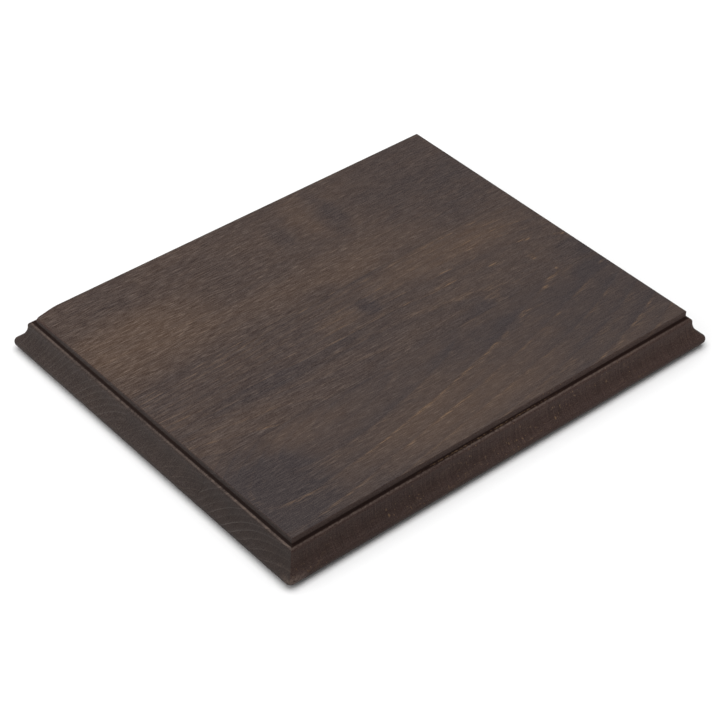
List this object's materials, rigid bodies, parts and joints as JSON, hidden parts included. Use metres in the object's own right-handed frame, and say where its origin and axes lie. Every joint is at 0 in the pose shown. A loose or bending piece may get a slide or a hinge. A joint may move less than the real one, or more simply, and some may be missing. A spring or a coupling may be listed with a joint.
{
  "type": "wooden plaque",
  "caption": "Blank wooden award plaque: edge-glued staves, raised flat panel with a moulded ogee edge, keyhole hanger plates and felt pads on the back.",
  "frame": {"origin": "centre of the outline, on the plane that the felt pads rest on", "axes": "+X along the long side and the grain, +Y along the short side towards the top edge in landscape, +Z out of the face"},
  "size_m": [0.25, 0.2046, 0.0195],
  "materials": {
    "stained_wood": "dark walnut stain under a thin satin finish",
    "zinc_steel": "zinc plated",
    "felt": "pressed wool felt"
  },
  "bodies": {
    "root": {"stave_rear": "stained_wood", "stave_middle": "stained_wood", "stave_front": "stained_wood", "hanger_plate_landscape": "zinc_steel", "hanger_plate_portrait": "zinc_steel", "screw_landscape_upper": "zinc_steel", "screw_landscape_lower": "zinc_steel", "screw_portrait_upper": "zinc_steel", "screw_portrait_lower": "zinc_steel", "felt_pad_front_left": "felt", "felt_pad_front_right": "felt", "felt_pad_rear_left": "felt", "felt_pad_rear_right": "felt"}
  },
  "joints": []
}
